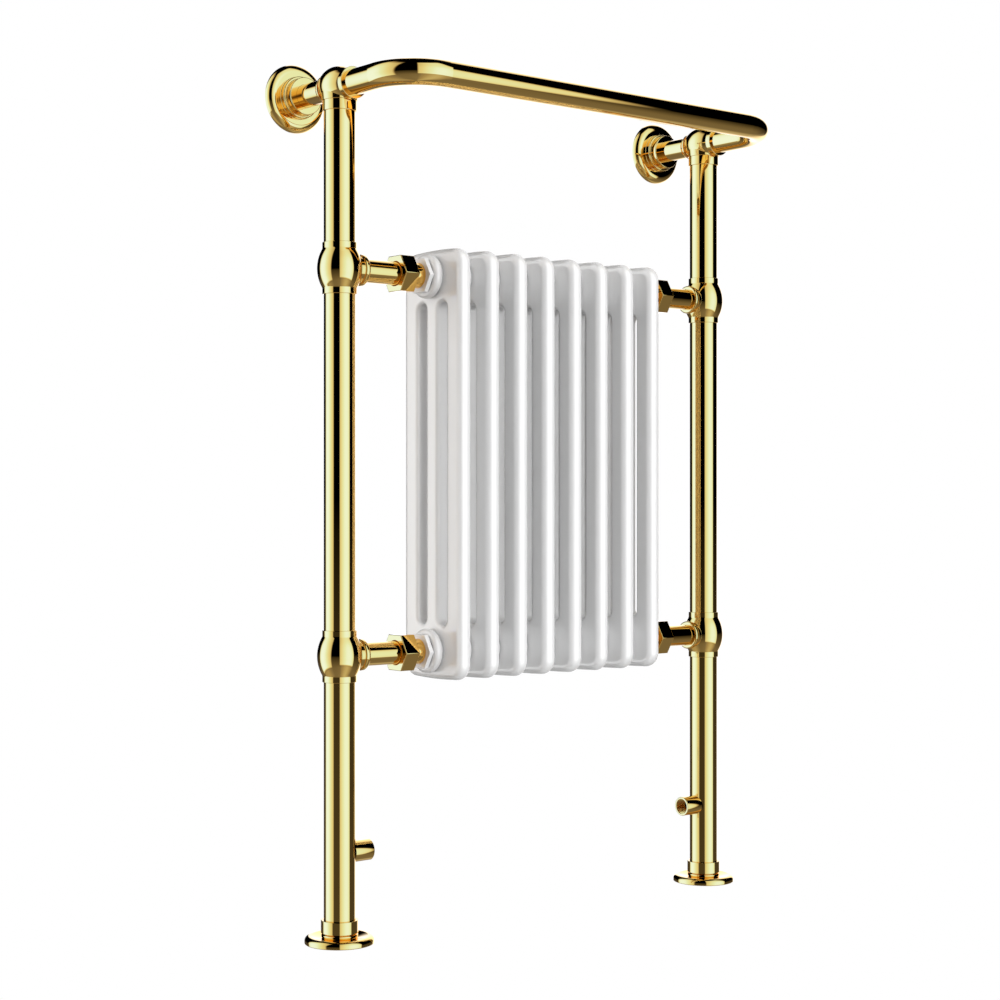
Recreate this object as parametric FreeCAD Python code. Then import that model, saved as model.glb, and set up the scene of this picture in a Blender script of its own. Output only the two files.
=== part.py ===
"""Freestanding towel radiator: two turned brass posts on floor feet, a U-shaped towel rail, two wall
stays and a white three-column insert hung between four unions.

Frame: +X along the width, +Y towards the wall, +Z up, floor at Z 0, origin under the middle of the
overall box. Millimetres throughout. Every length that fits another piece comes from the sizes below.
"""

import FreeCAD
import Part
import math
import os
from FreeCAD import Vector

# Frame of tubes
POST_SPACING = 545.0
POST_OD = 34.0
POST_WALL = 1.5
RAIL_AXIS_Z = 914.0
RAIL_OD = 28.0
RAIL_WALL = 1.5
RAIL_REACH = 120.0
RAIL_BEND_RADIUS = 50.0
WALL_REACH = 89.0
STAY_OD = 25.4
STAY_WALL = 1.5

# Ball tees and corner fittings
LOWER_TEE_Z = 306.0
UPPER_TEE_Z = 719.5
TEE_HALF_HEIGHT = 27.7
SOCKET_WALL = 1.5
SOCKET_DEPTH = 11.0
BELLY_RISE = 5.6
BELLY_HALF_HEIGHT = 18.5
BELLY_ARC_RADIUS = 41.6
NECK_RADIUS = 2.5
BRANCH_REACH = 29.6
BRANCH_NECK_WALL = 2.8
BRANCH_COLLAR_LENGTH = 6.4
BRANCH_COLLAR_ROUND = 2.4
BRANCH_SEAT_DEPTH = 9.0
COLLAR_RISE = 1.6
CORNER_BARREL_RADIUS = 21.5
CORNER_ARC_RADIUS = 32.0
CORNER_HALF_LENGTH = 19.0
CORNER_REACH = 27.0
CORNER_SKIRT_LENGTH = 16.0
CORNER_SKIRT_RISE = 0.8
CORNER_SKIRT_INSET = 0.5
CORNER_COLLAR_LENGTH = 6.5
CORNER_COLLAR_LAND = 2.2
CORNER_NECK_WALL = 1.4
CORNER_SEAT_LAND = 4.5
EDGE_ROUND = 1.0

# Unions between the tees and the insert
LINK_OD = 25.4
LINK_WALL = 1.6
LINK_FLANGE_OD = 30.0
LINK_FLANGE_THICKNESS = 3.0
UNION_WASHER_THICKNESS = 1.5
NUT_ACROSS_FLATS = 39.0
NUT_LENGTH = 18.5
NUT_EDGE_ROUND = 0.8
NUT_SHOULDER_LENGTH = 4.0
TAIL_OD = 28.0
TAIL_SHOWN_LENGTH = 14.0
TAIL_THREAD_OD = 31.0
TAIL_SCREW_OD = 24.0
TAIL_SCREW_LENGTH = 14.0
TAIL_BORE_D = 18.0
BUSH_ACROSS_FLATS = 37.0
BUSH_HEX_LENGTH = 5.5
BUSH_EDGE_ROUND = 0.7
BUSH_SCREW_LENGTH = 11.0
BUSH_GASKET_THICKNESS = 0.8
BUSH_GASKET_OD = 36.0

# Insert: cast sections joined by nipples
SECTION_COUNT = 8
SECTION_THICKNESS = 18.0
SECTION_DEPTH = 105.0
SECTION_ABOVE_HUB = 28.0
SECTION_BELOW_HUB = 29.8
SECTION_CROWN = 3.0
SECTION_CORNER_RADIUS = 18.0
NOSE_FLAT = 0.6
SLOT_WIDTH = 16.0
SLOT_OFFSET = 18.5
SLOT_EDGE_ROUND = 5.0
SLOT_BELOW_HUB = 28.5
HUB_OD = 49.0
HUB_LENGTH = 11.2
HUB_EDGE_ROUND = 4.6
HUB_ROOT_ROUND = 4.0
HUB_NECK_LENGTH = 0.8
HUB_BORE_D = 33.2
NIPPLE_LENGTH = 26.0
NIPPLE_WALL = 3.0

# Feet
FOOT_PLATE_OD = 64.0
FOOT_PLATE_THICKNESS = 3.0
FOOT_SPIGOT_HEIGHT = 20.0
FOOT_SPIGOT_WALL = 3.0
FOOT_HOLE_COUNT = 3
FOOT_HOLE_PCD = 50.0
FIXING_HOLE_D = 5.5
FOOT_DISC_OD = 75.0
FOOT_RIM_HEIGHT = 8.0
FOOT_RIM_WIDTH = 7.0
FOOT_RIM_ROUND = 5.0
FOOT_RIM_INNER_ROUND = 1.6
FOOT_DISH_HEIGHT = 5.4
FOOT_BEAD_WAIST = 7.0
FOOT_BEAD_TOP = 10.5
FOOT_BEAD_ROUND = 2.0
FOOT_BEAD_STEP = 0.4
FOOT_GROOVE_WALL = 1.3
FOOT_GROOVE_WIDTH = 0.7
FOOT_COLLAR_TOP = 25.0
FOOT_COLLAR_WALL = 3.0

# Wall fixings
WALL_PLATE_OD = 56.0
WALL_PLATE_THICKNESS = 4.0
WALL_SPIGOT_LENGTH = 18.0
WALL_SPIGOT_WALL = 2.5
WALL_HOLE_SPACING = 41.0
ROSETTE_OD = 75.0
ROSETTE_RIM_HEIGHT = 9.0
ROSETTE_RIM_ROUND = 8.5
ROSETTE_STEP_OD = 46.0
ROSETTE_STEP_TOP = 15.5
ROSETTE_STEP_ROUND = 1.4
ROSETTE_FRONT_OD = 41.0
ROSETTE_FRONT_TOP = 24.6

# Water connections and small fittings
SPIGOT_Z = 95.5
SPIGOT_OD = 23.0
SPIGOT_BORE_D = 18.6
SPIGOT_REACH = 38.0
SPIGOT_END_ROUND = 0.8
DRAIN_HEAD_D = 14.0
DRAIN_HEAD_HEIGHT = 4.2
DRAIN_HEAD_ROUND = 2.0
DRAIN_STEM_D = 9.0
VENT_ACROSS_FLATS = 12.0
VENT_HEAD_LENGTH = 3.6
VENT_SCREW_D = 9.6
VENT_SCREW_LENGTH = 7.0
VENT_PIN_D = 4.4
VENT_PIN_SQUARE = 3.0
VENT_PIN_SHOWN = 1.2

# Clearances
TUBE_FIT = 0.05
SCREW_FIT = 0.05
RUNNING_GAP = 0.1
NUT_GAP = 0.3
COVER_GAP = 0.4

# Places worked out from the sizes
POST_X = POST_SPACING / 2
POST_Y = (RAIL_REACH + RAIL_OD / 2 - WALL_REACH) / 2
WALL_Y = POST_Y + WALL_REACH
SECTION_PITCH = SECTION_THICKNESS + 2 * HUB_LENGTH
INSERT_HALF = SECTION_COUNT * SECTION_PITCH / 2
SIDES = (("left", -1), ("right", 1))
LEVELS = (("lower", LOWER_TEE_Z), ("upper", UPPER_TEE_Z))
UP = Vector(0, 0, 1)
FRONT = Vector(0, -1, 0)
BACK = Vector(0, 1, 0)


def rounded_wire(corners):
    """Closed wire in the XZ plane through (x, z, radius) corners, each rounded by a tangent arc."""
    edges = []
    ends = []
    count = len(corners)
    for i in range(count):
        x, z, radius = corners[i]
        corner = Vector(x, 0, z)
        before = Vector(corners[i - 1][0], 0, corners[i - 1][1]) - corner
        after = Vector(corners[(i + 1) % count][0], 0, corners[(i + 1) % count][1]) - corner
        before.normalize()
        after.normalize()
        if radius == 0:
            ends.append((corner, corner, corner))
            continue
        half = before.getAngle(after) / 2
        cut = radius / math.tan(half)
        middle = before + after
        middle.normalize()
        nearest = radius / math.sin(half) - radius
        ends.append((corner + before * cut, corner + middle * nearest, corner + after * cut))
    for i in range(count):
        enter, middle, leave = ends[i]
        if corners[i][2] > 0:
            edges.append(Part.Arc(enter, middle, leave).toShape())
        following = ends[(i + 1) % count][0]
        if leave.distanceToPoint(following) > 1e-6:
            edges.append(Part.makeLine(leave, following))
    return Part.Wire(edges)


def placed(shape, base, axis):
    """Copy of a shape made along +Z, turned to the axis and moved to the base point."""
    turned_shape = shape.copy()
    turned_shape.Placement = FreeCAD.Placement(base, FreeCAD.Rotation(UP, axis))
    return turned_shape


def turned(corners, base, axis):
    """Solid turned on a lathe: the (radius, height, rounding) profile revolved about the axis."""
    face = Part.Face(rounded_wire(corners))
    return placed(face.revolve(Vector(), UP, 360), base, axis)


def rod(diameter, length, base, axis):
    return Part.makeCylinder(diameter / 2, length, base, axis)


def tube(outer, inner, length, base, axis):
    return rod(outer, length, base, axis).cut(rod(inner, length, base, axis))


def hexagon(across_flats, length, rounding, base, axis):
    """Hexagon bar along the X axis with corners to front and back and softly rounded edges."""
    corner = across_flats / math.sqrt(3)
    points = [Vector(0, corner * math.cos(k * math.pi / 3), corner * math.sin(k * math.pi / 3))
              for k in range(7)]
    bar = Part.Face(Part.makePolygon(points)).extrude(axis * length)
    bar = bar.makeFillet(rounding, bar.Edges)
    bar.translate(base)
    return bar


def save(name, shape):
    shape.exportStep(os.path.join("parts", name + ".step"))


def post_point(side, z):
    return Vector(side * POST_X, POST_Y, z)


def post_tube(side, bottom, top):
    return tube(POST_OD, POST_OD - 2 * POST_WALL, top - bottom, post_point(side, bottom), UP)


def lower_post_tube(side):
    """Lowest length of post, drilled for the valve spigot and for the drain plug behind it."""
    solid = post_tube(side, FOOT_PLATE_THICKNESS, LOWER_TEE_Z - TEE_HALF_HEIGHT + SOCKET_DEPTH)
    centre = post_point(side, SPIGOT_Z)
    spigot_hole = rod(SPIGOT_OD + 2 * TUBE_FIT, POST_OD, centre, Vector(-side, 0, 0))
    plug_hole = rod(DRAIN_STEM_D + 2 * SCREW_FIT, POST_OD, centre, BACK)
    return solid.cut(spigot_hole).cut(plug_hole)


def socket(tube_od, reach, depth, bore, base, axis):
    """Space inside a fitting: a seat for the tube's end, and the narrower waterway behind it."""
    seat = rod(tube_od + 2 * TUBE_FIT, depth, base + axis * (reach - depth), axis)
    return seat.fuse(rod(bore, reach - depth, base, axis))


def branch(tube_od, neck_wall, reach, collar, rounding, base, axis):
    """Outlet of a fitting: a plain neck that ends in a rounded collar."""
    neck_r = tube_od / 2 + neck_wall
    collar_r = neck_r + COLLAR_RISE
    start = reach - collar
    return turned([(0, 0, 0), (neck_r, 0, 0), (neck_r, start, EDGE_ROUND / 4),
                   (collar_r, start, rounding), (collar_r, reach, rounding), (0, reach, 0)],
                  base, axis)


def flared_branch(tube_od, neck_wall, reach, collar, base, axis):
    """Outlet of a fitting whose collar tapers down to the lip that holds the tube."""
    neck_r = tube_od / 2 + neck_wall
    collar_r = neck_r + COLLAR_RISE
    start = reach - collar
    return turned([(0, 0, 0), (neck_r, 0, 0), (neck_r, start, EDGE_ROUND / 4),
                   (collar_r, start, EDGE_ROUND / 2), (collar_r, start + CORNER_COLLAR_LAND, EDGE_ROUND),
                   (tube_od / 2 + neck_wall / 2, reach, 0), (0, reach, 0)], base, axis)


def ball_tee(side, z):
    """Ball tee: a barrel belly blended by hollow necks into two post sockets, with a side outlet."""
    collar_r = POST_OD / 2 + SOCKET_WALL
    slope = math.asin(BELLY_HALF_HEIGHT / BELLY_ARC_RADIUS)
    apex = collar_r + BELLY_RISE + BELLY_ARC_RADIUS * (1 / math.cos(slope) - 1)
    neck_z = (apex - collar_r) / math.tan(slope)
    belly = turned([(0, -TEE_HALF_HEIGHT, 0), (collar_r, -TEE_HALF_HEIGHT, EDGE_ROUND / 2),
                    (collar_r, -neck_z, NECK_RADIUS), (apex, 0, BELLY_ARC_RADIUS),
                    (collar_r, neck_z, NECK_RADIUS), (collar_r, TEE_HALF_HEIGHT, EDGE_ROUND / 2),
                    (0, TEE_HALF_HEIGHT, 0)], post_point(side, z), UP)
    inward = Vector(-side, 0, 0)
    centre = post_point(side, z)
    outlet = branch(LINK_OD, BRANCH_NECK_WALL, BRANCH_REACH, BRANCH_COLLAR_LENGTH, BRANCH_COLLAR_ROUND,
                    centre, inward)
    solid = belly.fuse(outlet)
    for axis in (UP, -UP):
        solid = solid.cut(socket(POST_OD, TEE_HALF_HEIGHT, SOCKET_DEPTH,
                                 POST_OD - 2 * POST_WALL, centre, axis))
    return solid.cut(socket(LINK_OD, BRANCH_REACH, BRANCH_SEAT_DEPTH,
                            LINK_OD - 2 * LINK_WALL, centre, inward))


def corner_fitting(side):
    """Three-way barrel on top of a post: socket down to the post, forward to the rail, back to the stay."""
    centre = post_point(side, RAIL_AXIS_Z)
    post_socket_r = POST_OD / 2 + SOCKET_WALL
    slope = math.asin(CORNER_HALF_LENGTH / CORNER_ARC_RADIUS)
    apex = CORNER_BARREL_RADIUS + CORNER_ARC_RADIUS * (1 / math.cos(slope) - 1)
    end = CORNER_HALF_LENGTH + EDGE_ROUND / 4
    end_r = apex - end * math.tan(slope)
    solid = turned([(0, -end, 0), (end_r, -end, 0), (apex, 0, CORNER_ARC_RADIUS), (end_r, end, 0),
                    (0, end, 0)], centre, BACK)
    skirt_r = post_socket_r + CORNER_SKIRT_RISE
    solid = solid.fuse(turned([(0, 0, 0), (CORNER_BARREL_RADIUS - CORNER_SKIRT_INSET, 0, 0),
                               (skirt_r, CORNER_SKIRT_LENGTH, EDGE_ROUND / 2),
                               (post_socket_r, CORNER_SKIRT_LENGTH, 0),
                               (post_socket_r, CORNER_REACH, EDGE_ROUND / 2), (0, CORNER_REACH, 0)],
                              centre, -UP))
    solid = solid.fuse(branch(RAIL_OD, CORNER_NECK_WALL, CORNER_REACH, CORNER_COLLAR_LENGTH, EDGE_ROUND / 2,
                              centre, FRONT))
    solid = solid.fuse(flared_branch(STAY_OD, CORNER_NECK_WALL, CORNER_REACH, CORNER_COLLAR_LENGTH,
                                     centre, BACK))
    for axis, tube_od in ((-UP, POST_OD), (FRONT, RAIL_OD), (BACK, STAY_OD)):
        bore = tube_od - 2 * CORNER_SEAT_LAND
        solid = solid.cut(socket(tube_od, CORNER_REACH, SOCKET_DEPTH, bore, centre, axis))
    return solid


def towel_rail():
    """U-shaped rail: one tube bent through two quarter turns in front of the posts."""
    start_y = POST_Y - CORNER_REACH + SOCKET_DEPTH
    front_y = POST_Y - RAIL_REACH
    bend = RAIL_BEND_RADIUS
    inset = bend * (1 - math.sqrt(0.5))
    path = []
    for side in (-1, 1):
        foot = Vector(side * POST_X, start_y, RAIL_AXIS_Z)
        enter = Vector(side * POST_X, front_y + bend, RAIL_AXIS_Z)
        middle = Vector(side * (POST_X - inset), front_y + inset, RAIL_AXIS_Z)
        leave = Vector(side * (POST_X - bend), front_y, RAIL_AXIS_Z)
        path.append((foot, enter, middle, leave))
    left, right = path
    spine = Part.Wire([Part.makeLine(left[0], left[1]), Part.Arc(*left[1:]).toShape(),
                       Part.makeLine(left[3], right[3]), Part.Arc(right[3], right[2], right[1]).toShape(),
                       Part.makeLine(right[1], right[0])])
    skins = []
    for diameter in (RAIL_OD, RAIL_OD - 2 * RAIL_WALL):
        ring = Part.Wire(Part.makeCircle(diameter / 2, left[0], FRONT))
        skins.append(spine.makePipeShell([ring], True, False))
    return skins[0].cut(skins[1])


def wall_stay(side):
    start = POST_Y + CORNER_REACH - SOCKET_DEPTH
    base = Vector(side * POST_X, start, RAIL_AXIS_Z)
    return tube(STAY_OD, STAY_OD - 2 * STAY_WALL, WALL_Y - WALL_PLATE_THICKNESS - start, base, BACK)


def wall_plate(side):
    """Round plate screwed to the wall, with a spigot that plugs into the stay."""
    base = Vector(side * POST_X, WALL_Y, RAIL_AXIS_Z)
    spigot_r = STAY_OD / 2 - STAY_WALL - TUBE_FIT
    bore_r = spigot_r - WALL_SPIGOT_WALL
    top = WALL_PLATE_THICKNESS + WALL_SPIGOT_LENGTH
    plate_r = WALL_PLATE_OD / 2
    solid = turned([(bore_r, 0, 0), (plate_r, 0, 0), (plate_r, WALL_PLATE_THICKNESS, 0),
                    (spigot_r, WALL_PLATE_THICKNESS, 0), (spigot_r, top, 0), (bore_r, top, 0)],
                   base, FRONT)
    for sign in (-1, 1):
        centre = base + Vector(sign * WALL_HOLE_SPACING / 2, 0, 0)
        solid = solid.cut(rod(FIXING_HOLE_D, WALL_PLATE_THICKNESS, centre, FRONT))
    return solid


def wall_rosette(side):
    """Stepped cover with a quarter-round rim, which slides along the stay and hides the wall plate."""
    bore_r = STAY_OD / 2 + RUNNING_GAP
    hollow_r = WALL_PLATE_OD / 2 + COVER_GAP
    hollow_top = WALL_PLATE_THICKNESS + COVER_GAP
    rim_r = ROSETTE_OD / 2
    step_r = ROSETTE_STEP_OD / 2
    front_r = ROSETTE_FRONT_OD / 2
    return turned([(hollow_r, 0, 0), (rim_r, 0, 0), (rim_r, ROSETTE_RIM_HEIGHT, ROSETTE_RIM_ROUND),
                   (step_r, ROSETTE_RIM_HEIGHT, EDGE_ROUND / 2),
                   (step_r, ROSETTE_STEP_TOP, ROSETTE_STEP_ROUND),
                   (front_r, ROSETTE_STEP_TOP, EDGE_ROUND / 2), (front_r, ROSETTE_FRONT_TOP, EDGE_ROUND),
                   (bore_r, ROSETTE_FRONT_TOP, 0), (bore_r, hollow_top, 0), (hollow_r, hollow_top, 0)],
                  Vector(side * POST_X, WALL_Y, RAIL_AXIS_Z), FRONT)


def foot_plate(side):
    """Floor plate of a post: a screwed disc with a spigot that plugs into the post."""
    base = post_point(side, 0)
    spigot_r = POST_OD / 2 - POST_WALL - TUBE_FIT
    bore_r = spigot_r - FOOT_SPIGOT_WALL
    top = FOOT_PLATE_THICKNESS + FOOT_SPIGOT_HEIGHT
    plate_r = FOOT_PLATE_OD / 2
    solid = turned([(bore_r, 0, 0), (plate_r, 0, 0), (plate_r, FOOT_PLATE_THICKNESS, 0),
                    (spigot_r, FOOT_PLATE_THICKNESS, 0), (spigot_r, top, 0), (bore_r, top, 0)],
                   base, UP)
    for k in range(FOOT_HOLE_COUNT):
        angle = 2 * math.pi * k / FOOT_HOLE_COUNT
        centre = base + Vector(math.cos(angle), math.sin(angle), 0) * (FOOT_HOLE_PCD / 2)
        solid = solid.cut(rod(FIXING_HOLE_D, FOOT_PLATE_THICKNESS, centre, UP))
    return solid


def foot_rosette(side):
    """Dished floor cover with a bead, a groove and a collar, which slides up the post off its plate."""
    bore_r = POST_OD / 2 + RUNNING_GAP
    hollow_r = FOOT_PLATE_OD / 2 + COVER_GAP
    hollow_top = FOOT_PLATE_THICKNESS + COVER_GAP
    rim_r = FOOT_DISC_OD / 2
    collar_r = POST_OD / 2 + FOOT_COLLAR_WALL
    bead_r = collar_r - FOOT_BEAD_STEP
    groove_r = POST_OD / 2 + FOOT_GROOVE_WALL
    groove_top = FOOT_BEAD_TOP + FOOT_GROOVE_WIDTH
    return turned([(hollow_r, 0, 0), (rim_r, 0, EDGE_ROUND), (rim_r, FOOT_RIM_HEIGHT, FOOT_RIM_ROUND),
                   (rim_r - FOOT_RIM_WIDTH, FOOT_RIM_HEIGHT, FOOT_RIM_INNER_ROUND),
                   (bead_r - EDGE_ROUND, FOOT_DISH_HEIGHT, 0),
                   (bead_r, FOOT_BEAD_WAIST, EDGE_ROUND), (bead_r, FOOT_BEAD_TOP, FOOT_BEAD_ROUND),
                   (groove_r, FOOT_BEAD_TOP, 0), (groove_r, groove_top, 0),
                   (collar_r, groove_top, EDGE_ROUND / 2), (collar_r, FOOT_COLLAR_TOP, EDGE_ROUND / 2),
                   (bore_r, FOOT_COLLAR_TOP, 0), (bore_r, hollow_top, 0), (hollow_r, hollow_top, 0)],
                  post_point(side, 0), UP)


def valve_spigot(side):
    """Short inlet pipe set in the post's wall, bored for a half-inch pipe thread."""
    start = POST_OD / 2 - 2 * POST_WALL
    outer_r = SPIGOT_OD / 2
    bore_r = SPIGOT_BORE_D / 2
    return turned([(bore_r, start, 0), (outer_r, start, 0), (outer_r, SPIGOT_REACH, SPIGOT_END_ROUND),
                   (bore_r, SPIGOT_REACH, 0)], post_point(side, SPIGOT_Z), Vector(-side, 0, 0))


def drain_plug(side):
    """Low domed plug screwed into the back of the post."""
    seat = POST_OD / 2 + COVER_GAP
    head_r = DRAIN_HEAD_D / 2
    stem_r = DRAIN_STEM_D / 2
    tip = POST_OD / 2 - 2 * POST_WALL
    return turned([(0, tip, 0), (stem_r, tip, 0), (stem_r, seat, 0),
                   (head_r, seat, 0), (head_r, seat + DRAIN_HEAD_HEIGHT, DRAIN_HEAD_ROUND),
                   (0, seat + DRAIN_HEAD_HEIGHT, 0)], post_point(side, SPIGOT_Z), BACK)


def vent_seat():
    """Distance from the post's axis to the seat of the air vent on the back of the upper tee."""
    return POST_OD / 2 + SOCKET_WALL + BELLY_RISE


def vent_hole(side):
    return rod(VENT_SCREW_D + 2 * SCREW_FIT, 2 * VENT_SCREW_LENGTH,
               post_point(side, UPPER_TEE_Z) + BACK * (vent_seat() - VENT_SCREW_LENGTH), BACK)


def vent_body(side):
    """Air vent body: a small hexagon with a plain screw end, bored for its pin."""
    centre = post_point(side, UPPER_TEE_Z)
    seat = vent_seat()
    bar = Part.Face(Part.makePolygon(
        [Vector(VENT_ACROSS_FLATS / math.sqrt(3) * math.cos(k * math.pi / 3), seat,
                VENT_ACROSS_FLATS / math.sqrt(3) * math.sin(k * math.pi / 3)) for k in range(7)]))
    head = bar.extrude(BACK * VENT_HEAD_LENGTH)
    head.translate(Vector(centre.x, centre.y, centre.z))
    screw = rod(VENT_SCREW_D, VENT_SCREW_LENGTH, centre + BACK * (seat - VENT_SCREW_LENGTH), BACK)
    bore = rod(VENT_PIN_D + 2 * RUNNING_GAP, VENT_SCREW_LENGTH + VENT_HEAD_LENGTH,
               centre + BACK * (seat - VENT_SCREW_LENGTH), BACK)
    return head.fuse(screw).cut(bore)


def bleed_pin(side):
    """Needle of the air vent, with the square end that takes a bleed key."""
    centre = post_point(side, UPPER_TEE_Z)
    start = vent_seat() - VENT_SCREW_LENGTH
    end = vent_seat() + VENT_HEAD_LENGTH
    needle = rod(VENT_PIN_D, end - start, centre + BACK * start, BACK)
    half = VENT_PIN_SQUARE / 2
    square = Part.makeBox(VENT_PIN_SQUARE, VENT_PIN_SHOWN, VENT_PIN_SQUARE,
                          centre + Vector(-half, end, -half))
    return needle.fuse(square)


def union_stations():
    """Distances from the insert's middle to the faces along each union, from the hub outwards."""
    bush_inner = INSERT_HALF + BUSH_GASKET_THICKNESS
    bush_outer = bush_inner + BUSH_HEX_LENGTH
    nut_inner = bush_outer + TAIL_SHOWN_LENGTH
    nut_outer = nut_inner + NUT_LENGTH
    flange_back = nut_outer - NUT_SHOULDER_LENGTH - NUT_GAP
    flange_face = flange_back - LINK_FLANGE_THICKNESS
    tail_end = flange_face - UNION_WASHER_THICKNESS
    return bush_inner, bush_outer, nut_inner, nut_outer, flange_back, flange_face, tail_end


BUSH_INNER, BUSH_OUTER, NUT_INNER, NUT_OUTER, FLANGE_BACK, FLANGE_FACE, TAIL_END = union_stations()


def union_base(z):
    return Vector(0, POST_Y, z)


def link_tube(side, z):
    """Tube from the tee to the union, upset into a flange that the nut pulls on."""
    outward = Vector(side, 0, 0)
    outer_r = LINK_OD / 2
    bore_r = outer_r - LINK_WALL
    far = POST_X - BRANCH_REACH + BRANCH_SEAT_DEPTH
    return turned([(bore_r, FLANGE_FACE, 0), (LINK_FLANGE_OD / 2, FLANGE_FACE, 0),
                   (LINK_FLANGE_OD / 2, FLANGE_BACK, 0), (outer_r, FLANGE_BACK, 0), (outer_r, far, 0),
                   (bore_r, far, 0)], union_base(z), outward)


def union_washer(side, z):
    return tube(LINK_FLANGE_OD, LINK_OD - 2 * LINK_WALL, UNION_WASHER_THICKNESS,
                union_base(z) + Vector(side * TAIL_END, 0, 0), Vector(side, 0, 0))


def union_nut(side, z):
    """Hexagon nut with a shoulder behind the link tube's flange and a wider bore for the tail."""
    outward = Vector(side, 0, 0)
    base = union_base(z)
    bar = hexagon(NUT_ACROSS_FLATS, NUT_LENGTH, NUT_EDGE_ROUND, base + outward * NUT_INNER, outward)
    thread_bore = rod(TAIL_THREAD_OD + 2 * NUT_GAP, NUT_LENGTH - NUT_SHOULDER_LENGTH,
                      base + outward * NUT_INNER, outward)
    neck_bore = rod(LINK_OD + 2 * NUT_GAP, NUT_LENGTH, base + outward * NUT_INNER, outward)
    return bar.cut(thread_bore).cut(neck_bore)


def union_tail(side, z):
    """Male half of the union: threaded head inside the nut, shown barrel, and screw into the bush."""
    bore_r = TAIL_BORE_D / 2
    head = NUT_INNER + NUT_GAP
    tip = BUSH_OUTER - TAIL_SCREW_LENGTH
    screw_r = TAIL_SCREW_OD / 2
    barrel_r = TAIL_OD / 2
    head_r = TAIL_THREAD_OD / 2
    return turned([(bore_r, tip, 0), (screw_r, tip, 0), (screw_r, BUSH_OUTER, 0),
                   (barrel_r, BUSH_OUTER, EDGE_ROUND), (barrel_r, head, 0), (head_r, head, 0),
                   (head_r, TAIL_END, 0), (bore_r, TAIL_END, 0)], union_base(z), Vector(side, 0, 0))


def hex_bush(side, z):
    """White reducing bush: hexagon against the gasket, plain screw end inside the hub."""
    outward = Vector(side, 0, 0)
    base = union_base(z)
    bar = hexagon(BUSH_ACROSS_FLATS, BUSH_HEX_LENGTH, BUSH_EDGE_ROUND, base + outward * BUSH_INNER, outward)
    screw_start = BUSH_INNER - BUSH_SCREW_LENGTH
    screw = rod(HUB_BORE_D - 2 * SCREW_FIT, BUSH_SCREW_LENGTH, base + outward * screw_start, outward)
    bore = rod(TAIL_SCREW_OD + 2 * SCREW_FIT, BUSH_SCREW_LENGTH + BUSH_HEX_LENGTH,
               base + outward * screw_start, outward)
    return bar.fuse(screw).cut(bore)


def bush_gasket(side, z):
    return tube(BUSH_GASKET_OD, HUB_BORE_D, BUSH_GASKET_THICKNESS,
                union_base(z) + Vector(side * INSERT_HALF, 0, 0), Vector(side, 0, 0))


def slot_cutter(y):
    """Upright slot between two columns, with half-round ends, right through the section."""
    half = SLOT_WIDTH / 2
    bottom = LOWER_TEE_Z + SLOT_BELOW_HUB + half
    top = UPPER_TEE_Z - SLOT_BELOW_HUB - half
    near = y - half
    far = y + half
    top_arc = Part.Arc(Vector(0, near, top), Vector(0, y, top + half), Vector(0, far, top))
    bottom_arc = Part.Arc(Vector(0, far, bottom), Vector(0, y, bottom - half), Vector(0, near, bottom))
    outline = Part.Wire([Part.makeLine(Vector(0, near, bottom), Vector(0, near, top)), top_arc.toShape(),
                         Part.makeLine(Vector(0, far, top), Vector(0, far, bottom)), bottom_arc.toShape()])
    cutter = Part.Face(outline).extrude(Vector(SECTION_THICKNESS, 0, 0))
    cutter.translate(Vector(-SECTION_THICKNESS / 2, 0, 0))
    return cutter


def face_edges(solid, low, high):
    """Edges that lie in either flat side of a section and inside the given Y and Z range."""
    found = []
    for edge in solid.Edges:
        box = edge.BoundBox
        in_side = box.XLength < 1e-6 and abs(abs(box.XMin) - SECTION_THICKNESS / 2) < 1e-6
        inside = box.YMin > low.y and box.YMax < high.y and box.ZMin > low.z and box.ZMax < high.z
        if in_side and inside:
            found.append(edge)
    return found


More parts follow.
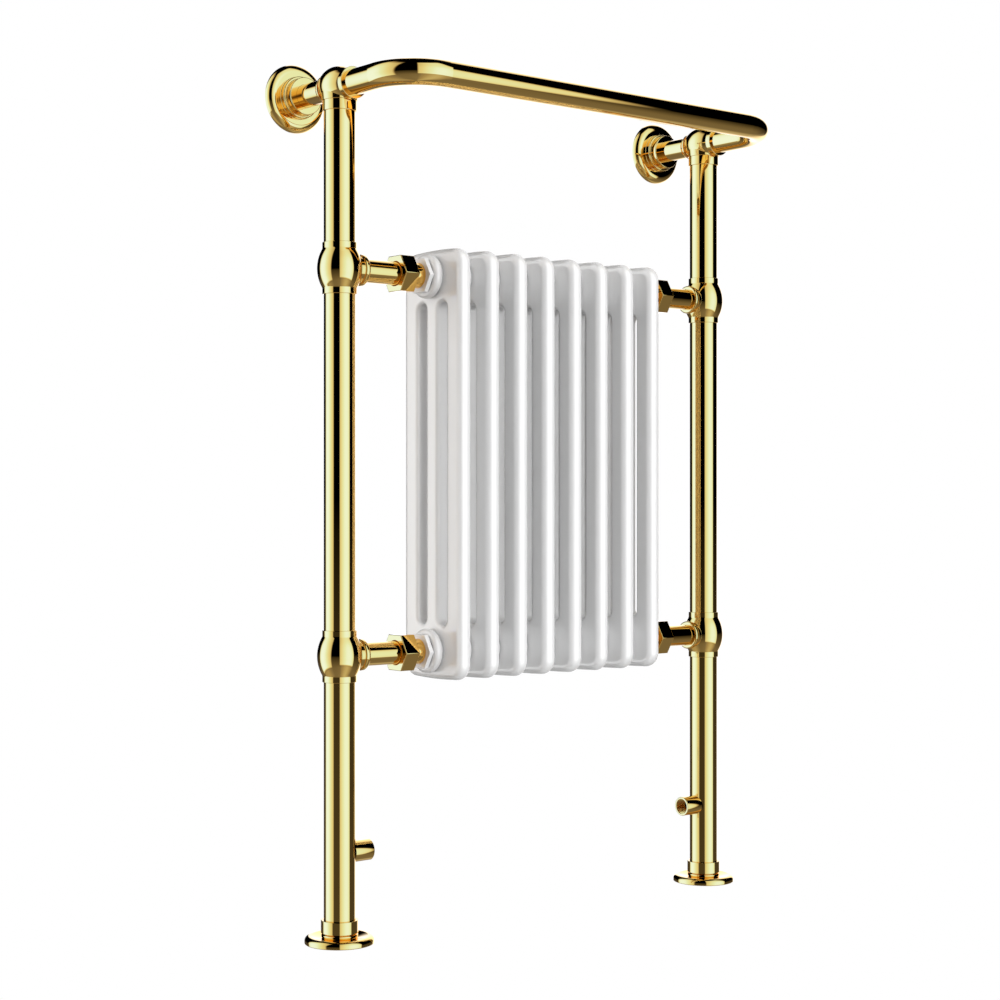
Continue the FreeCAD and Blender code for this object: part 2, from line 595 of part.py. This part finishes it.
def section():
    """One cast section about X 0: three columns with round noses, two slots and a ringed hub at each end."""
    half_depth = SECTION_DEPTH / 2
    bottom = LOWER_TEE_Z - SECTION_BELOW_HUB
    top = UPPER_TEE_Z + SECTION_ABOVE_HUB
    radius = SECTION_CORNER_RADIUS
    crown_radius = (half_depth - radius) * half_depth / SECTION_CROWN
    outline = rounded_wire([(-half_depth, bottom, radius), (0, bottom - SECTION_CROWN, crown_radius),
                            (half_depth, bottom, radius), (half_depth, top, radius),
                            (0, top + SECTION_CROWN, crown_radius), (-half_depth, top, radius)])
    slab = Part.Face(outline).extrude(Vector(0, SECTION_THICKNESS, 0))
    slab.rotate(Vector(), UP, 90)
    slab.translate(Vector(SECTION_THICKNESS / 2, 0, 0))
    margin = SECTION_DEPTH
    low = Vector(0, -half_depth - margin, bottom - margin)
    high = Vector(0, half_depth + margin, top + margin)
    nose = SECTION_THICKNESS / 2 - NOSE_FLAT
    solid = slab.makeFillet(nose, face_edges(slab, low, high))
    for sign in (-1, 1):
        solid = solid.cut(slot_cutter(sign * SLOT_OFFSET))
    reach = SLOT_OFFSET + SLOT_WIDTH / 2 + NOSE_FLAT / 2
    low = Vector(0, -reach, LOWER_TEE_Z)
    high = Vector(0, reach, UPPER_TEE_Z)
    solid = solid.makeFillet(SLOT_EDGE_ROUND, face_edges(solid, low, high))
    hub_r = HUB_OD / 2
    neck_r = hub_r - HUB_ROOT_ROUND
    hub_half = SECTION_PITCH / 2
    ring = HUB_LENGTH - HUB_NECK_LENGTH
    for _, z in LEVELS:
        base = Vector(-hub_half, 0, z)
        along = Vector(1, 0, 0)
        hub = turned([(0, 0, 0), (hub_r, 0, HUB_EDGE_ROUND), (hub_r, ring, HUB_ROOT_ROUND), (neck_r, ring, 0),
                      (neck_r, SECTION_PITCH - ring, 0), (hub_r, SECTION_PITCH - ring, HUB_ROOT_ROUND),
                      (hub_r, SECTION_PITCH, HUB_EDGE_ROUND), (0, SECTION_PITCH, 0)], base, along)
        solid = solid.fuse(hub).cut(rod(HUB_BORE_D, SECTION_PITCH, base, along))
    return solid


def nipples():
    """Hollow nipples that join each pair of neighbouring hubs."""
    outer = HUB_BORE_D - 2 * SCREW_FIT
    solids = []
    for i in range(1, SECTION_COUNT):
        x = i * SECTION_PITCH - INSERT_HALF
        for _, z in LEVELS:
            base = Vector(x - NIPPLE_LENGTH / 2, POST_Y, z)
            solids.append(tube(outer, outer - 2 * NIPPLE_WALL, NIPPLE_LENGTH, base, Vector(1, 0, 0)))
    return solids


os.makedirs("parts", exist_ok=True)
save("towel_rail", towel_rail())
for side_name, side in SIDES:
    save(side_name + "_foot_plate", foot_plate(side))
    save(side_name + "_foot_rosette", foot_rosette(side))
    save(side_name + "_lower_post_tube", lower_post_tube(side))
    save(side_name + "_middle_post_tube", post_tube(side, LOWER_TEE_Z + TEE_HALF_HEIGHT - SOCKET_DEPTH,
                                                    UPPER_TEE_Z - TEE_HALF_HEIGHT + SOCKET_DEPTH))
    save(side_name + "_upper_post_tube", post_tube(side, UPPER_TEE_Z + TEE_HALF_HEIGHT - SOCKET_DEPTH,
                                                   RAIL_AXIS_Z - CORNER_REACH + SOCKET_DEPTH))
    save(side_name + "_corner_fitting", corner_fitting(side))
    save(side_name + "_wall_stay", wall_stay(side))
    save(side_name + "_wall_plate", wall_plate(side))
    save(side_name + "_wall_rosette", wall_rosette(side))
    save(side_name + "_valve_spigot", valve_spigot(side))
    for level_name, z in LEVELS:
        prefix = side_name + "_" + level_name
        tee = ball_tee(side, z)
        if (side_name, level_name) == ("left", "upper"):
            tee = tee.cut(vent_hole(side))
        save(prefix + "_ball_tee", tee)
        save(prefix + "_link_tube", link_tube(side, z))
        save(prefix + "_union_nut", union_nut(side, z))
        save(prefix + "_union_tail", union_tail(side, z))
        save(prefix + "_hex_bush", hex_bush(side, z))

every_union = [(side, z) for _, side in SIDES for _, z in LEVELS]
save("union_washers", Part.makeCompound([union_washer(side, z) for side, z in every_union]))
save("bush_gaskets", Part.makeCompound([bush_gasket(side, z) for side, z in every_union]))
save("drain_plugs", Part.makeCompound([drain_plug(side) for _, side in SIDES]))
save("air_vent", vent_body(-1))
save("bleed_pin", bleed_pin(-1))

one_section = section()
for i in range(SECTION_COUNT):
    x = (i + 0.5) * SECTION_PITCH - INSERT_HALF
    save("section_" + str(i + 1), placed(one_section, Vector(x, POST_Y, 0), UP))
save("section_nipples", Part.makeCompound(nipples()))
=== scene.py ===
import math

import bpy
import numpy as np
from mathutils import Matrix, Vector


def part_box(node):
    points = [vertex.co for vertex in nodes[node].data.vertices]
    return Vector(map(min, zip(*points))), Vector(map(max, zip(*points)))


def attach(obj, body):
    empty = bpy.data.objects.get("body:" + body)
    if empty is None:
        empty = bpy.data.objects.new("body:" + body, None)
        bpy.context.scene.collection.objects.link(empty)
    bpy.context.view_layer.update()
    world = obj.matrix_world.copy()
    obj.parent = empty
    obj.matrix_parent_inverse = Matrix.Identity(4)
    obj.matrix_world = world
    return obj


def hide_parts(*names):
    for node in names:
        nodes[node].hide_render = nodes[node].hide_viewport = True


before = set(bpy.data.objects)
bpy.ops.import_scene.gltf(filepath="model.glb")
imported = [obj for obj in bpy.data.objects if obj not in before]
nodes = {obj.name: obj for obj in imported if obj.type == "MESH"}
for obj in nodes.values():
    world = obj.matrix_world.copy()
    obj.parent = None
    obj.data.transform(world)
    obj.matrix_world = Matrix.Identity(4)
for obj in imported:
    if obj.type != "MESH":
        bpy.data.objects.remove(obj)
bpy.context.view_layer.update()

# Floor and wall plates: steel discs with a spigot, stamped and zinc plated. They are screwed down
# first, and the covers hide them in use.
SIDES = ("left", "right")
ZINC_DARK = (0.52, 0.54, 0.57)
ZINC_LIGHT = (0.66, 0.68, 0.70)
CRYSTALS_PER_METRE = 240.0
SPECKS_PER_METRE = 900.0
ZINC_ROUGHNESS = 0.26
CRYSTAL_ROUGHNESS = 0.12
SPECK_ROUGHNESS = 0.1


class Wire:
    """One output of a node tree. Operators on it add Math nodes and give a new Wire."""

    def __init__(self, tree, socket=None):
        self.tree = tree
        self.socket = socket

    def node(self, kind, settings, values, out=0):
        """A new node: its settings or ramp stops first, then its sockets' values or links."""
        made = self.tree.nodes.new(kind)
        for name, value in settings.items():
            if name != "stops":
                setattr(made, name, value)
                continue
            ramp = made.color_ramp
            for place, colour in value[1:-1]:
                ramp.elements.new(place).color = (*colour, 1)
            ramp.elements[0].color = (*value[0][1], 1)
            ramp.elements[-1].color = (*value[-1][1], 1)
        for key, value in values.items():
            if isinstance(value, Wire):
                self.tree.links.new(value.socket, made.inputs[key])
            else:
                made.inputs[key].default_value = value
        return Wire(self.tree, made.outputs[out])

    def maths(self, operation, *values):
        return self.node("ShaderNodeMath", {"operation": operation}, dict(enumerate(values)))

    def __add__(self, other):
        return self.maths("ADD", self, other)

    def __sub__(self, other):
        return self.maths("SUBTRACT", self, other)

    def __mul__(self, other):
        return self.maths("MULTIPLY", self, other)

    def noise(self, waves, detail):
        """Noise read at these coordinates, with so many waves to the metre."""
        return self.node("ShaderNodeTexNoise", {},
                         {"Vector": self, "Scale": waves, "Detail": detail})

    def tint(self, first, second):
        """Colour that goes from the first to the second as this value goes from 0 to 1."""
        return self.node("ShaderNodeMix", {"data_type": "RGBA"},
                         {"Factor": self, "A": (*first, 1), "B": (*second, 1)}, 2)

    def feed(self, socket):
        self.tree.links.new(self.socket, socket)


def new_finish(name):
    """A new material: itself, its shader and the piece's own coordinates."""
    made = bpy.data.materials.new(name)
    made.use_nodes = True
    place = Wire(made.node_tree).node("ShaderNodeTexCoord", {}, {}, "Object")
    return made, made.node_tree.nodes["Principled BSDF"], place


def dress(finish, *names):
    """Gives CAD pieces a finish in place of the plain one that they came with."""
    for name in names:
        data = nodes[name].data
        data.materials.clear()
        data.materials.append(finish)


zinc, shader, place = new_finish("zinc_steel")
crystal = place.node("ShaderNodeTexVoronoi", {}, {"Vector": place, "Scale": CRYSTALS_PER_METRE})
speck = place.noise(SPECKS_PER_METRE, 2.0)
crystal.tint(ZINC_DARK, ZINC_LIGHT).feed(shader.inputs["Base Color"])
roughness = crystal * CRYSTAL_ROUGHNESS + speck * SPECK_ROUGHNESS + ZINC_ROUGHNESS
roughness.feed(shader.inputs["Roughness"])
shader.inputs["Metallic"].default_value = 1.0
for side in SIDES:
    dress(zinc, f"{side}_foot_plate", f"{side}_wall_plate")

# Posts, stays and towel rail: drawn brass tube, bent where it turns, polished along its length and
# gold plated. The tubes are pushed into the fittings and soldered.
GOLD_PALE = (1.0, 0.59, 0.142)
GOLD_DEEP = (0.985, 0.565, 0.128)
CLOUDS_PER_METRE = 9.0
CLOUD_ROUGHNESS = 0.0012
LINE_ROUGHNESS = 0.0008
TUBE_ROUGHNESS = 0.001
LINES_ACROSS = 700.0
LINES_ALONG = 12.0


def polished_gold(name, grain, least_roughness):
    """Gold plate: the tint and gloss wander a little, and fine polishing lines are stretched by the
    grain, the number of waves per metre along each axis."""
    gold, shader, place = new_finish(name)
    cloud = place.noise(CLOUDS_PER_METRE, 3.0)
    stretched = place.node("ShaderNodeVectorMath", {"operation": "MULTIPLY"}, {0: place, 1: grain})
    lines = stretched.noise(1.0, 3.0)
    cloud.tint(GOLD_PALE, GOLD_DEEP).feed(shader.inputs["Base Color"])
    roughness = lines * LINE_ROUGHNESS + cloud * CLOUD_ROUGHNESS + least_roughness
    roughness.feed(shader.inputs["Roughness"])
    shader.inputs["Metallic"].default_value = 1.0
    return gold


ALONG_X = (LINES_ALONG, LINES_ACROSS, LINES_ACROSS)
ALONG_Y = (LINES_ACROSS, LINES_ALONG, LINES_ACROSS)
ALONG_Z = (LINES_ACROSS, LINES_ACROSS, LINES_ALONG)
upright_gold = polished_gold("upright_tube_gold", ALONG_Z, TUBE_ROUGHNESS)
for side in SIDES:
    dress(upright_gold, *[f"{side}_{length}_post_tube" for length in ("lower", "middle", "upper")])
rail_gold = polished_gold("rail_gold", ALONG_X, TUBE_ROUGHNESS)
dress(rail_gold, "towel_rail")
stay_gold = polished_gold("stay_gold", ALONG_Y, TUBE_ROUGHNESS)
dress(stay_gold, *[f"{side}_wall_stay" for side in SIDES])

# Ball tees and corner fittings: brass castings, bored for the tubes, polished all over and gold
# plated. They carry the posts, the links and the rail.
LEVELS = ("lower", "upper")
CAST_GRAIN = (260.0, 260.0, 260.0)
CAST_ROUGHNESS = 0.0012
cast_gold = polished_gold("cast_fitting_gold", CAST_GRAIN, CAST_ROUGHNESS)
for side in SIDES:
    dress(cast_gold, f"{side}_corner_fitting", *[f"{side}_{level}_ball_tee" for level in LEVELS])

# Foot and wall covers: turned brass rosettes that slide on the post or the stay and hide the plate
# and its screws. They are polished in the lathe and gold plated.
TURNED_GRAIN = (420.0, 420.0, 420.0)
TURNED_ROUGHNESS = 0.001
turned_gold = polished_gold("turned_cover_gold", TURNED_GRAIN, TURNED_ROUGHNESS)
for side in SIDES:
    dress(turned_gold, f"{side}_foot_rosette", f"{side}_wall_rosette")

# Valve spigots: short inlet pipes soldered into the posts, turned from brass bar and gold plated.
# The bore has a half-inch parallel pipe thread, fourteen turns to the inch, for the valve.
SPIGOT_R = 11.5e-3
SPIGOT_BORE_R = 9.3e-3
SPIGOT_EDGE = 0.8e-3
THREAD_PITCH = 25.4e-3 / 14
THREAD_DEPTH = 1.16e-3
THREAD_LENGTH = 15e-3
THREAD_ROWS = 140
CREST_CUT = 0.125
RING_POINTS = 96
LIP_POINTS = 7
SHARP_FROM = math.radians(38)


def close_columns(name, points, finish):
    """Mesh over a grid of points: rows run along the piece, columns close round it, and each cell
    of the grid is one face."""
    rows, columns = points.shape[:2]
    index = np.arange(rows * columns).reshape(rows, columns)
    beside = np.roll(index, -1, axis=1)
    cells = np.stack([index[:-1], beside[:-1], beside[1:], index[1:]], axis=-1).reshape(-1, 4)
    mesh = bpy.data.meshes.new(name)
    mesh.from_pydata(points.reshape(-1, 3).tolist(), [], cells.tolist())
    mesh.shade_smooth()
    mesh.set_sharp_from_angle(angle=SHARP_FROM)
    mesh.materials.append(finish)
    piece = bpy.data.objects.new(name, mesh)
    bpy.context.scene.collection.objects.link(piece)
    return piece


def spigot_grid(length):
    """Radius and distance along the pipe, by row and angle: out along the wall, round the lip, and
    back down the bore, where the radius gains a triangle wave with its tips cut off, which climbs
    one pitch per turn and fades in over the first turn and out over the last one."""
    angle = np.linspace(0, 2 * np.pi, RING_POINTS, endpoint=False)
    corner = np.linspace(0, np.pi / 2, LIP_POINTS)
    down = np.linspace(0, THREAD_LENGTH, THREAD_ROWS)
    lip_r = SPIGOT_R - SPIGOT_EDGE * (1 - np.cos(corner))
    outer_r = np.concatenate([[SPIGOT_BORE_R, SPIGOT_R], lip_r])
    outer_s = np.concatenate([[0, 0], length - SPIGOT_EDGE * (1 - np.sin(corner))])
    wave = np.abs(2 * ((down[:, None] / THREAD_PITCH + angle / (2 * np.pi)) % 1) - 1)
    fade = np.clip(np.minimum(down, THREAD_LENGTH - down) / THREAD_PITCH, 0, 1)[:, None]
    ridge = np.clip((1 + 2 * CREST_CUT) * wave - CREST_CUT, 0, 1)
    radius = np.concatenate([np.repeat(outer_r[:, None], angle.size, axis=1),
                             SPIGOT_BORE_R + THREAD_DEPTH * fade * ridge,
                             np.full((1, angle.size), SPIGOT_BORE_R)])
    along = np.concatenate([outer_s, length - down, [0]])[:, None] + 0 * angle
    return radius, along, angle


for side, inward in zip(SIDES, (1, -1)):
    name = f"{side}_valve_spigot"
    low, high = (np.array(corner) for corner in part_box(name))
    radius, along, angle = spigot_grid(high[0] - low[0])
    start = low[0] if inward > 0 else high[0]
    middle = (low + high) / 2
    points = np.stack([start + inward * along, middle[1] + inward * radius * np.cos(angle),
                       middle[2] + radius * np.sin(angle)], axis=-1)
    spigot = close_columns(f"{side}_threaded_spigot", points, cast_gold)
    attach(spigot, "frame")
    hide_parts(name)

# Drain plugs, air vent and bleed pin: small turned brass pieces on the backs of the posts, gold
# plated and screwed in on a sealed thread.
SMALL_GRAIN = (900.0, 900.0, 900.0)
SMALL_ROUGHNESS = 0.0014
small_gold = polished_gold("small_turned_gold", SMALL_GRAIN, SMALL_ROUGHNESS)
dress(small_gold, "drain_plugs", "air_vent", "bleed_pin")

# Unions: a link tube with a flange, a hexagon nut that pulls it on a washer, and a tail screwed into
# the insert's bush. Turned brass, gold plated; the nuts turn on the links.
HEX_GRAIN = (60.0, 600.0, 600.0)
HEX_ROUGHNESS = 0.0012
NUT_EDGE = 1.3e-3
JOIN_WITHIN = 1e-6
EDGE_FROM = math.radians(25)
hex_gold = polished_gold("hexagon_bar_gold", HEX_GRAIN, HEX_ROUGHNESS)
link_gold = polished_gold("link_gold", ALONG_X, TUBE_ROUGHNESS)


def round_edges(name, width):
    """Breaks the sharp edges of a CAD piece by this width, as polishing does."""
    nodes[name].modifiers.new("joined_faces", "WELD").merge_threshold = JOIN_WITHIN
    edge = nodes[name].modifiers.new("broken_edges", "BEVEL")
    edge.width = width
    edge.segments = 3
    edge.limit_method = "ANGLE"
    edge.angle_limit = EDGE_FROM
    edge.harden_normals = True


for side in SIDES:
    for level in LEVELS:
        dress(hex_gold, f"{side}_{level}_union_nut")
        round_edges(f"{side}_{level}_union_nut", NUT_EDGE)
        dress(link_gold, f"{side}_{level}_link_tube", f"{side}_{level}_union_tail")

# Union washers and bush gaskets: black rubber rings, stamped from sheet and gripped between the
# faces of the unions and the hubs.
RUBBER_DARK = (0.018, 0.018, 0.019)
RUBBER_LIGHT = (0.035, 0.035, 0.036)
BLOOM_PER_METRE = 500.0
rubber, shader, place = new_finish("seal_rubber")
bloom = place.noise(BLOOM_PER_METRE, 3.0)
bloom.tint(RUBBER_DARK, RUBBER_LIGHT).feed(shader.inputs["Base Color"])
(bloom * 0.2 + 0.6).feed(shader.inputs["Roughness"])
dress(rubber, "union_washers", "bush_gaskets")

# Nipples: short cast-iron rings with a left and a right thread, which draw each section's hubs
# against the next.
IRON_DARK = (0.10, 0.095, 0.09)
IRON_LIGHT = (0.19, 0.18, 0.17)
SAND_PER_METRE = 700.0
iron, shader, place = new_finish("nipple_iron")
sand = place.noise(SAND_PER_METRE, 4.0)
sand.tint(IRON_DARK, IRON_LIGHT).feed(shader.inputs["Base Color"])
(sand * 0.25 + 0.5).feed(shader.inputs["Roughness"])
shader.inputs["Metallic"].default_value = 0.8
dress(iron, "section_nipples")

# Radiator sections and hexagon bushes: eight cast three-column sections joined at their hubs, with a
# bush in each end hub, sprayed together with white enamel and stoved. The coat has a faint
# orange-peel ripple and a soft gloss.
SECTION_COUNT = 8
ENAMEL_DULL = (0.715, 0.716, 0.717)
ENAMEL_CLEAR = (0.735, 0.736, 0.737)
ENAMEL_IOR = 1.68
ENAMEL_SPECULAR = 0.9
TONES_PER_METRE = 13.0
PEEL_PER_METRE = 330.0
PEEL_DEPTH = 0.4e-3
PEEL_STRENGTH = 0.05
white, shader, place = new_finish("white_enamel")
peel = place.noise(PEEL_PER_METRE, 1.0)
tone = place.noise(TONES_PER_METRE, 2.0)
tone.tint(ENAMEL_DULL, ENAMEL_CLEAR).feed(shader.inputs["Base Color"])
(tone * 0.05 + 0.14).feed(shader.inputs["Roughness"])
ripple = peel.node("ShaderNodeBump", {},
                   {"Strength": PEEL_STRENGTH, "Distance": PEEL_DEPTH, "Height": peel})
ripple.feed(shader.inputs["Normal"])
shader.inputs["IOR"].default_value = ENAMEL_IOR
shader.inputs["Specular IOR Level"].default_value = ENAMEL_SPECULAR
enamelled = [f"section_{number}" for number in range(1, SECTION_COUNT + 1)]
enamelled += [f"{side}_{level}_hex_bush" for side in SIDES for level in LEVELS]
dress(white, *enamelled)

# Floor: a plain white studio sweep. It is painted for the camera alone, since what the gold shows
# of the floor is part of the studio's own light.
FLOOR_HALF = 8.0
floor_mesh = bpy.data.meshes.new("floor")
floor_mesh.from_pydata([(-FLOOR_HALF, -FLOOR_HALF, 0), (FLOOR_HALF, -FLOOR_HALF, 0),
                        (FLOOR_HALF, FLOOR_HALF, 0), (-FLOOR_HALF, FLOOR_HALF, 0)],
                       [], [(0, 1, 2, 3)])
floor = bpy.data.objects.new("floor", floor_mesh)
bpy.context.scene.collection.objects.link(floor)
sweep, shader, place = new_finish("white_sweep")
shader.inputs["Base Color"].default_value = (0.0, 0.0, 0.0, 1)
shader.inputs["Specular IOR Level"].default_value = 0.0
shader.inputs["Emission Color"].default_value = (1, 1, 1, 1)
shader.inputs["Emission Strength"].default_value = 1.0
floor_mesh.materials.append(sweep)
floor.visible_glossy = False
floor.visible_diffuse = False
floor.visible_transmission = False
floor.visible_shadow = False

# Studio: large softboxes in front, at the left and behind on the right, black felt between them and
# a dark glossy floor below. The gold mirrors this world with its tints; the enamel mirrors it in
# plain white and is lit by lamps in the same places.
WHITE = (1, 1, 1, 1)
world = bpy.data.worlds.new("studio")
bpy.context.scene.world = world
world.use_nodes = True
world.node_tree.nodes.clear()
world.cycles_visibility.diffuse = False
studio = Wire(world.node_tree)
direction = studio.node("ShaderNodeTexCoord", {}, {}, "Generated")
rightward, backward, upward = (
    studio.node("ShaderNodeSeparateXYZ", {}, {"Vector": direction}, axis) for axis in "XYZ")
elevation = studio.maths("ARCSINE", upward) * math.degrees(1)


def bearing(centre):
    """Degrees round from a compass bearing, from -180 to 180."""
    turn = math.radians(centre)
    ahead = rightward * math.cos(turn) + backward * math.sin(turn)
    aside = backward * math.cos(turn) - rightward * math.sin(turn)
    return studio.maths("ARCTAN2", aside, ahead) * math.degrees(1)


def profile(value, stops):
    """Brightness read off a line through (degrees, brightness) stops."""
    first, last = stops[0][0], stops[-1][0]
    span = last - first
    tallest = max(level for _, level in stops)
    ramp = [((degrees - first) / span, (level / tallest,) * 3) for degrees, level in stops]
    reading = (value - first) * (1 / span)
    return studio.node("ShaderNodeValToRGB", {"stops": ramp}, {"Fac": reading}) * tallest


from_front = bearing(-85)
front_across = [(-60, 0), (-40, 0), (-37, 0.93), (-33, 1.01), (-25, 1.19), (-17, 1.34), (-9, 1.44),
                (-2, 1.5), (6, 1.54), (14, 1.54), (22, 1.49), (29, 1.41), (33, 1.3), (35.6, 1.12),
                (37.6, 0), (60, 0)]
front_up = [(-90, 0), (-28, 0), (-24, 0.92), (-11, 0.945), (0, 1), (20, 0.985), (30, 0.945),
            (40, 0.87), (50, 0.82), (62, 0.85), (68, 0), (90, 0)]
front = profile(from_front, front_across) * profile(elevation, front_up)

from_left = bearing(155)
left_across = [(-60, 0), (-41, 0), (-37, 1.2), (-34, 1.42), (-28, 1.567), (-20, 1.62), (-10, 1.61),
               (0, 1.51), (9, 1.37), (18, 1.185), (27, 1.0), (32, 0.9), (34.5, 0.55), (37, 0.08),
               (39, 0), (60, 0)]
left_up = [(-90, 0), (-33, 0), (-29, 0.9), (-20, 0.94), (-11, 0.955), (0, 1), (10, 1), (20, 0.985),
           (30, 0.93), (40, 0.88), (50, 0.76), (60, 0.63), (68, 0.16), (72, 0), (90, 0)]
left = profile(from_left, left_across) * profile(elevation, left_up)

from_back = bearing(36)
back_across = [(-60, 0), (-24, 0), (-20, 0.85), (-12, 1), (20, 1), (24, 0.85), (26, 0), (60, 0)]
back_up = [(-90, 0), (-36, 0), (-28, 0.35), (-20, 0.7), (-8, 0.95), (-4, 1), (30, 0.97),
           (40, 0.85), (50, 0.73), (56, 0), (90, 0)]
back = profile(from_back, back_across) * profile(elevation, back_up)

ground = profile(elevation, [(-90, 0.22), (-60, 0.22), (-35, 0.19), (-25, 0.14), (-15, 0.088),
                             (-5, 0.045), (0, 0), (90, 0)])
front_glow_across = [(-60, 0), (-37, 0.03), (-30, 0.13), (-20, 0.22), (-10, 0.35), (3, 0.45),
                     (12, 0.41), (20, 0.31), (30, 0.186), (38, 0.05), (45, 0), (60, 0)]
left_glow_across = [(-60, 0), (-41, 0), (-30, 0.22), (0, 0.25), (20, 0.12), (40, 0), (60, 0)]
back_glow_across = [(-60, 0), (-36, 0), (-12, 0.38), (14, 0), (60, 0)]


def glow(value, across, full_below, none_above):
    """A softbox mirrored in the floor: full below one elevation and gone above the other."""
    return profile(value, across) * profile(
        elevation, [(-90, 0.8), (-60, 1), (full_below, 1), (none_above, 0), (0, 0)])


front_glow = glow(from_front, front_glow_across, -30, -25)
left_glow = glow(from_left, left_glow_across, -36, -31)
back_glow = glow(from_back, back_glow_across, -16, -10)
brightness = front + left + ground + front_glow + left_glow + back_glow

BRIGHTEST = 1.7
TINT_SCALE = 5.0
BACK_TINT = (0.9, 1.05, 1.35, 1)
BACK_STRENGTH = 1.55
tint_stops = [
    (0, (0, 0, 0)), (0.055, (0.053, 0.055, 0.056)), (0.162, (0.153, 0.162, 0.188)),
    (0.265, (0.24, 0.265, 0.34)), (0.407, (0.376, 0.407, 0.47)), (0.585, (0.50, 0.585, 0.72)),
    (0.812, (0.65, 0.812, 1.05)), (1.06, (0.78, 1.06, 1.5)), (1.2, (0.80, 1.2, 2.0)),
    (1.4, (0.81, 1.4, 2.85)), (1.5, (0.855, 1.5, 3.8)), (1.7, (0.92, 1.65, 5.0))]
tint_ramp = [(level / BRIGHTEST, tuple(part / TINT_SCALE for part in colour))
             for level, colour in tint_stops]
light_colour = studio.node("ShaderNodeValToRGB", {"stops": tint_ramp},
                           {"Fac": brightness * (1 / BRIGHTEST)})


def shine(colour, strength):
    return studio.node("ShaderNodeBackground", {}, {"Color": colour, "Strength": strength})


tinted = shine(light_colour, TINT_SCALE)
behind = shine(BACK_TINT, back * BACK_STRENGTH)
on_gold = studio.node("ShaderNodeAddShader", {}, {0: tinted, 1: behind})
on_enamel = shine(WHITE, brightness + back)
in_mirror = studio.node("ShaderNodeLightPath", {}, {}, "Is Singular Ray")
lit = studio.node("ShaderNodeMixShader", {}, {0: in_mirror, 1: on_enamel, 2: on_gold})
backdrop = shine(WHITE, 1.0)
seen = studio.node("ShaderNodeLightPath", {}, {}, "Is Camera Ray")
shown = studio.node("ShaderNodeMixShader", {}, {0: seen, 1: lit, 2: backdrop})
shown.feed(world.node_tree.nodes.new("ShaderNodeOutputWorld").inputs["Surface"])

# Lamps: the same softboxes as area lights, and the floor's bounce from below. They shine on the
# enamel alone, and neither the camera nor a mirror sees them.
INSERT_MIDDLE = Vector((0, 0, 0.51))
LAMP_REACH = 2.2
BOUNCE_REACH = 0.46
lit_pieces = bpy.data.collections.new("enamel_under_lamps")
for name in enamelled:
    lit_pieces.objects.link(nodes[name])


def softbox(name, turn, tilt, half_wide, half_high, radiance, reach=LAMP_REACH):
    """Lamp of even radiance, at a bearing and an elevation, that spans these half angles as seen
    from the insert's middle."""
    turn, tilt = math.radians(turn), math.radians(tilt)
    away = Vector((math.cos(tilt) * math.cos(turn), math.cos(tilt) * math.sin(turn), math.sin(tilt)))
    lamp = bpy.data.lights.new(name, "AREA")
    lamp.shape = "RECTANGLE"
    lamp.size = 2 * reach * math.tan(math.radians(half_wide))
    lamp.size_y = 2 * reach * math.tan(math.radians(half_high))
    lamp.energy = radiance * math.pi * lamp.size * lamp.size_y
    holder = bpy.data.objects.new(name, lamp)
    holder.location = INSERT_MIDDLE + away * reach
    holder.rotation_euler = away.to_track_quat("Z", "Y").to_euler()
    holder.visible_camera = False
    holder.visible_glossy = False
    holder.light_linking.receiver_collection = lit_pieces
    bpy.context.scene.collection.objects.link(holder)


softbox("front_lamp", -88, 19, 36, 42, 2.95)
softbox("left_lamp", 147, 10, 29, 38, 2.15)
softbox("side_lamp", -163, 10, 20, 38, 0.3)
softbox("back_lamp", 38, 18, 22, 27, 1.6)
softbox("floor_bounce", -115, -72, 40, 36, 0.6, BOUNCE_REACH)

# Camera: a long lens at half the height of the piece, as the photograph shows it, with the upright
# lines kept upright.
CAMERA_PLACE = (-1.4531, -1.7104, 0.4725)
LOOK_RIGHT, LOOK_BACK = 0.6287, 0.7777
camera = bpy.data.cameras.new("photo_camera")
camera.lens = 70.48
camera.shift_x = -0.0002
camera_object = bpy.data.objects.new("photo_camera", camera)
camera_object.location = CAMERA_PLACE
level_gaze = math.radians(90)
camera_object.rotation_euler = (level_gaze, 0, math.atan2(LOOK_BACK, LOOK_RIGHT) - level_gaze)
bpy.context.scene.collection.objects.link(camera_object)
bpy.context.scene.camera = camera_object
bpy.context.scene.view_settings.view_transform = "Standard"
